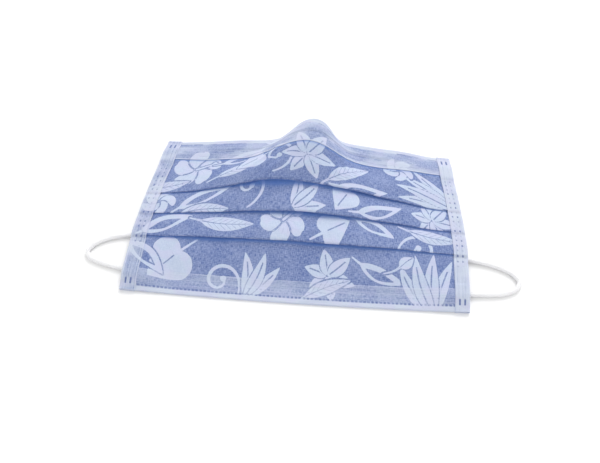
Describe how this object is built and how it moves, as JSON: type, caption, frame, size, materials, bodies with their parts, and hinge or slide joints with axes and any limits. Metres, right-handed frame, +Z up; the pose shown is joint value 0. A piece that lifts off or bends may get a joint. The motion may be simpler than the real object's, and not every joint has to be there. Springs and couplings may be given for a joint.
{
  "type": "pleated face mask with ear loops",
  "caption": "Pleated disposable face mask with a printed outer face, pale hems and side bindings, a bent nose wire and elastic ear loops, lying inner face down.",
  "frame": {"origin": "on the surface that the mask lies on, under the middle of the cloth's box (the ear loops are not counted)", "axes": "+X across the mask towards the side on the right in the picture, +Y from the chin edge to the nose edge, +Z up, away from the wearer's face"},
  "size_m": [0.224, 0.0998, 0.0271],
  "materials": {
    "printed_cloth": "matte nonwoven, denim blue with a pale leaf and flower print",
    "pale_strip": "thin pale nonwoven with rows of embossed welds",
    "coated_wire": "plain plastic coat",
    "elastic_cord": "soft round knitted elastic"
  },
  "bodies": {
    "root": {"mask_panel": "printed_cloth", "top_hem": "pale_strip", "bottom_hem": "pale_strip", "side_binding_left": "pale_strip", "side_binding_right": "pale_strip", "nose_wire": "coated_wire", "ear_loop_left": "elastic_cord", "ear_loop_right": "elastic_cord"}
  },
  "joints": []
}
